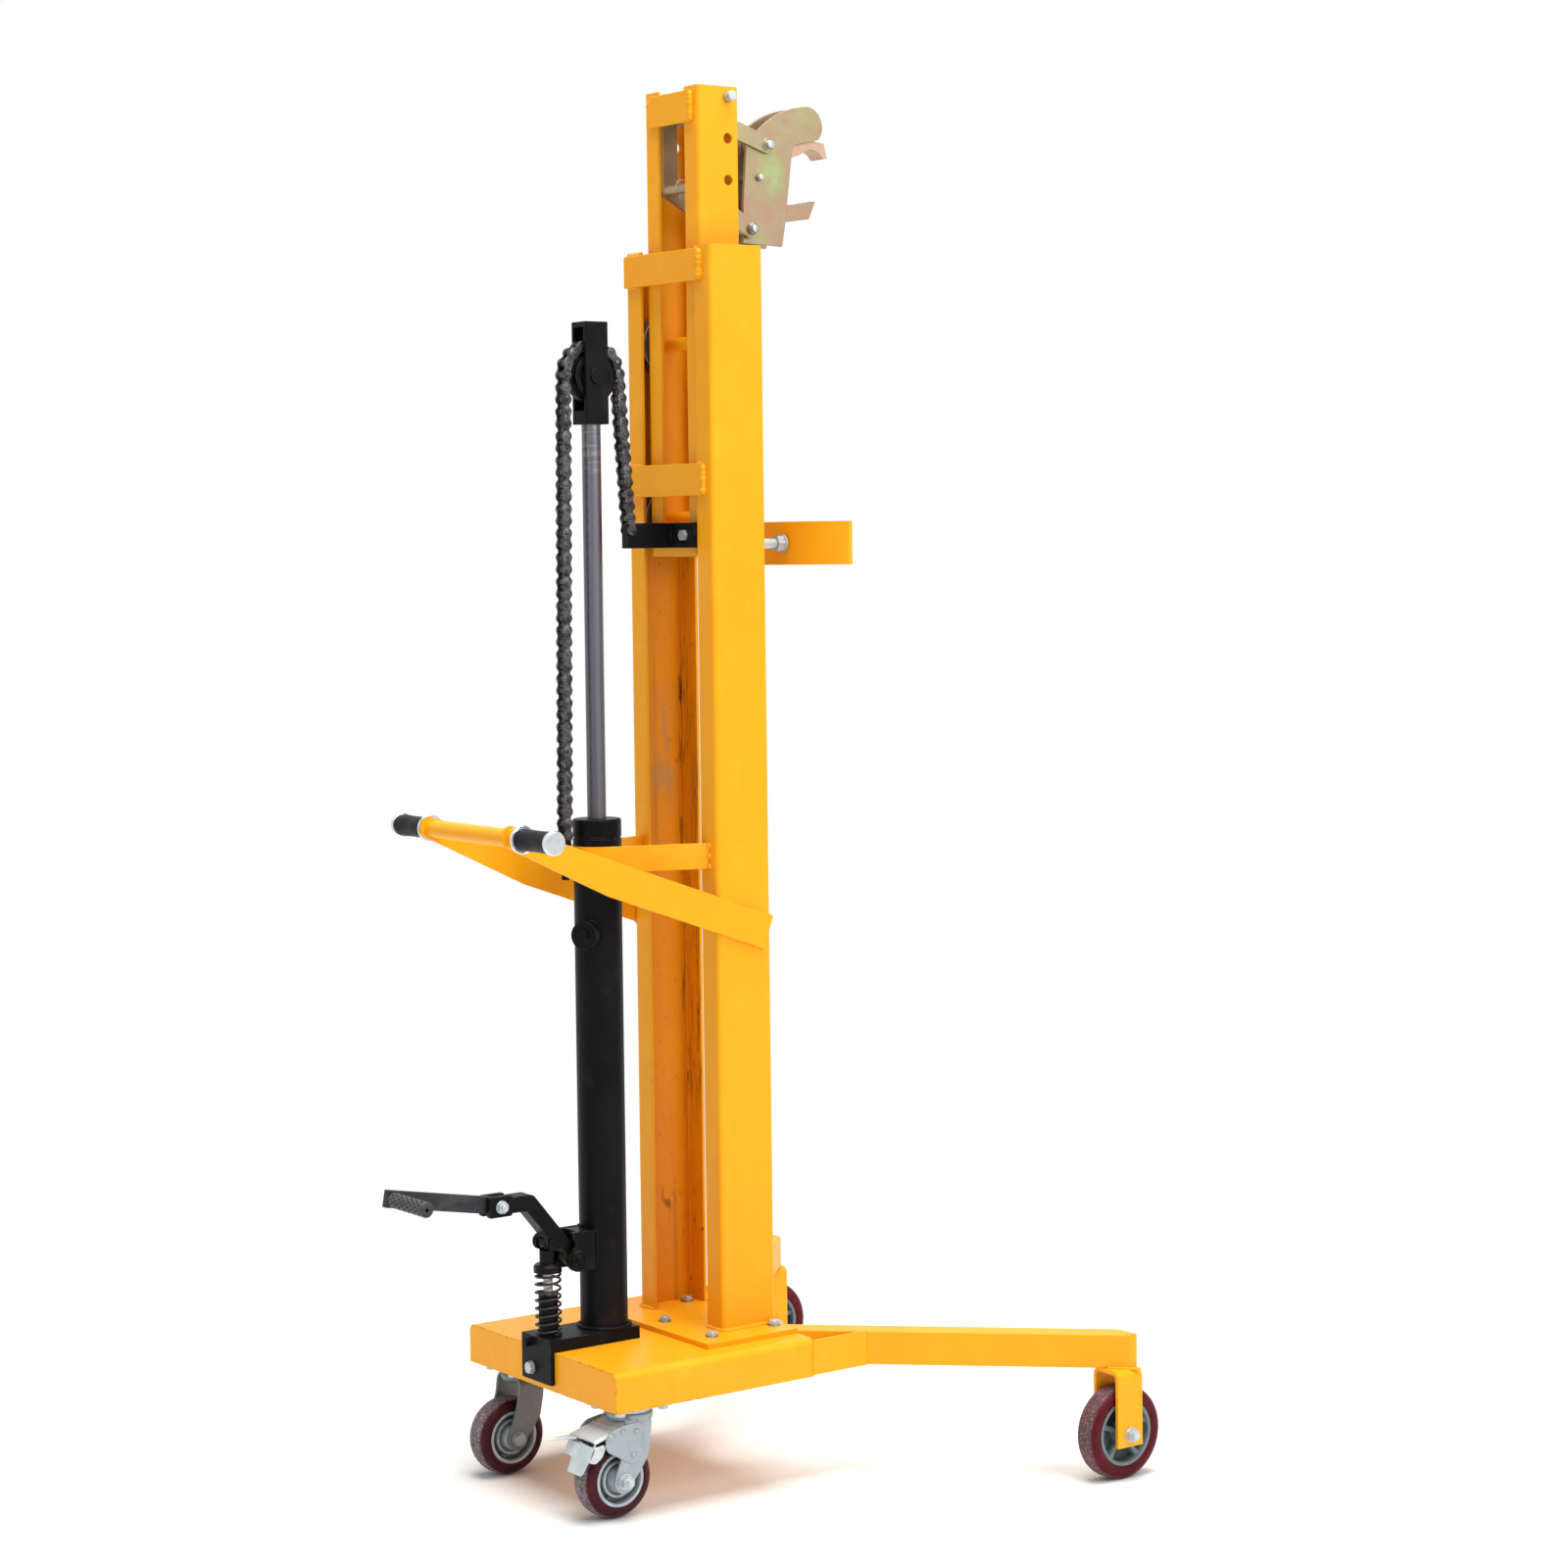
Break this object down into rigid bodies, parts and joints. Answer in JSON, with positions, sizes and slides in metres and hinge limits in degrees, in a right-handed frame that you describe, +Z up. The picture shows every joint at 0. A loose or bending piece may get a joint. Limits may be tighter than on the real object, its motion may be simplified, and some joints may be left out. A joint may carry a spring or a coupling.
{
  "type": "hydraulic drum truck",
  "caption": "Hand-pushed drum lifter: splayed legs on wheels, telescoping mast, foot-pumped cylinder with a chain lift, curved backrest and a rim gripper.",
  "frame": {"origin": "on the floor, under the centre of the truck's bounding box", "axes": "+X to the truck's right, +Y forward to the load side, +Z up along the mast"},
  "size_m": [1.048, 1.1394, 2.229],
  "materials": {
    "yellow_paint": "satin enamel",
    "black_paint": "semi-gloss",
    "ground_steel": "ground",
    "oiled_chain": "oiled",
    "bright_zinc": "zinc plated",
    "yellow_zinc": "yellow passivated zinc",
    "grip_rubber": "ribbed",
    "bright_chrome": "polished",
    "wheel": "moulded polyurethane on a core"
  },
  "bodies": {
    "truck": {"base_tray": "yellow_paint", "side_gussets": "yellow_paint", "leg_right": "yellow_paint", "leg_left": "yellow_paint", "front_forks": "yellow_paint", "front_axles": "bright_zinc", "caster_plates": "bright_zinc", "frame_bolts": "bright_zinc", "foot_plate": "yellow_paint", "outer_channel_right": "yellow_paint", "outer_channel_left": "yellow_paint", "outer_crossbars": "yellow_paint", "cylinder_strap": "yellow_paint", "handle_plates": "yellow_paint", "handle_tube": "yellow_paint", "handle_grips": "grip_rubber", "grip_trim": "bright_chrome", "pump_base": "black_paint", "cylinder_barrel": "black_paint", "cylinder_gland": "black_paint", "fill_plug": "black_paint", "chain_anchor": "black_paint", "chain_rear": "oiled_chain", "pump_barrel": "black_paint", "lever_lug": "black_paint", "pump_spring": "black_paint"},
    "lift_rod": {"piston_rod": "ground_steel", "sheave_block": "black_paint", "sheave_axle": "black_paint", "chain_wrap": "oiled_chain"},
    "chain_sheave": {"sheave": "black_paint"},
    "inner_mast": {"inner_channel_right": "yellow_paint", "inner_channel_left": "yellow_paint", "inner_crossbars": "yellow_paint", "roller_shafts": "yellow_paint", "backrest": "yellow_paint", "carriage_fasteners": "bright_zinc", "chain_bracket": "black_paint", "chain_front": "oiled_chain", "gripper_carrier": "yellow_zinc", "gripper_links": "yellow_zinc", "gripper_plates": "yellow_zinc", "lower_jaw": "yellow_zinc", "gripper_pins": "yellow_zinc"},
    "upper_rollers": {"guide_rollers_upper": "ground_steel"},
    "lower_rollers": {"guide_rollers_lower": "ground_steel"},
    "gripper_jaw": {"upper_jaw": "yellow_zinc"},
    "locking_pin": {"height_pin": "ground_steel"},
    "valve_screw": {"release_valve": "bright_zinc"},
    "pump_rod": {"pump_plunger": "ground_steel"},
    "foot_lever": {"pump_lever": "black_paint", "pedal_bar": "black_paint", "pedal_grip": "grip_rubber"},
    "caster_right": {"caster_fork_right": "bright_zinc"},
    "caster_left": {"caster_fork_left": "bright_zinc"},
    "caster_wheel_right": {"rear_wheel_right": "wheel"},
    "caster_wheel_left": {"rear_wheel_left": "wheel"},
    "brake": {"brake_pedal": "bright_zinc"},
    "leg_wheel_right": {"front_wheel_right": "wheel"},
    "leg_wheel_left": {"front_wheel_left": "wheel"}
  },
  "joints": [
    {"name": "lift", "type": "slide", "parent": "truck", "child": "lift_rod", "axis": [0, 0, 1], "range_m": [-0.6, 0.015], "deforming": ["chain_rear"]},
    {"name": "inner_lift", "type": "slide", "parent": "lift_rod", "child": "inner_mast", "axis": [0, 0, 1], "range_m": [-0.61, 0.02], "deforming": ["chain_front"]},
    {"name": "sheave_turn", "type": "hinge", "parent": "lift_rod", "child": "chain_sheave", "pos_m": [0, -0.17229, 1.76919], "axis": [1, 0, 0], "range_deg": [-700, 40]},
    {"name": "upper_roller_turn", "type": "hinge", "parent": "inner_mast", "child": "upper_rollers", "pos_m": [0, 0.02871, 1.826], "axis": [1, 0, 0], "range_deg": [-60, 1500]},
    {"name": "lower_roller_turn", "type": "hinge", "parent": "inner_mast", "child": "lower_rollers", "pos_m": [0, 0.02871, 1.544], "axis": [1, 0, 0], "range_deg": [-1500, 60]},
    {"name": "jaw", "type": "hinge", "parent": "inner_mast", "child": "gripper_jaw", "pos_m": [0, 0.15771, 2.148], "axis": [1, 0, 0], "range_deg": [0, 32]},
    {"name": "height_pin_pull", "type": "slide", "parent": "inner_mast", "child": "locking_pin", "axis": [1, 0, 0], "range_m": [0, 0.19]},
    {"name": "release", "type": "hinge", "parent": "truck", "child": "valve_screw", "pos_m": [-0.017, -0.30129, 0.247], "axis": [0, -1, 0], "range_deg": [0, 270]},
    {"name": "foot_pump", "type": "hinge", "parent": "truck", "child": "foot_lever", "pos_m": [0, -0.23529, 0.375], "axis": [1, 0, 0], "range_deg": [0, 30], "stiffness_Nm_per_rad": 18, "springref_deg": -28.65},
    {"name": "plunger", "type": "slide", "parent": "truck", "child": "pump_rod", "axis": [0, 0, 1], "range_m": [-0.026, 0.001], "deforming": ["pump_spring"]},
    {"name": "swivel_right", "type": "hinge", "parent": "truck", "child": "caster_right", "pos_m": [0.156, -0.22929, 0.16], "axis": [0, 0, 1], "continuous": true},
    {"name": "swivel_left", "type": "hinge", "parent": "truck", "child": "caster_left", "pos_m": [-0.156, -0.22929, 0.16], "axis": [0, 0, 1], "continuous": true},
    {"name": "caster_roll_right", "type": "hinge", "parent": "caster_right", "child": "caster_wheel_right", "pos_m": [0.156, -0.26329, 0.0625], "axis": [1, 0, 0], "continuous": true},
    {"name": "caster_roll_left", "type": "hinge", "parent": "caster_left", "child": "caster_wheel_left", "pos_m": [-0.156, -0.26329, 0.0625], "axis": [1, 0, 0], "continuous": true},
    {"name": "brake_step", "type": "hinge", "parent": "caster_right", "child": "brake", "pos_m": [0.156, -0.28929, 0.135], "axis": [1, 0, 0], "range_deg": [0, 11]},
    {"name": "front_roll_right", "type": "hinge", "parent": "truck", "child": "leg_wheel_right", "pos_m": [0.479, 0.49471, 0.075], "axis": [1, 0, 0], "continuous": true},
    {"name": "front_roll_left", "type": "hinge", "parent": "truck", "child": "leg_wheel_left", "pos_m": [-0.479, 0.49471, 0.075], "axis": [1, 0, 0], "continuous": true}
  ],
  "couplings": [
    {"joint": "inner_lift", "follows": "lift", "ratio": 1},
    {"joint": "sheave_turn", "follows": "lift", "rad_per_m": 19.909},
    {"joint": "upper_roller_turn", "follows": "lift", "rad_per_m": -43.011},
    {"joint": "lower_roller_turn", "follows": "lift", "rad_per_m": 43.011},
    {"joint": "plunger", "follows": "foot_pump", "m_per_rad": -0.047604}
  ]
}
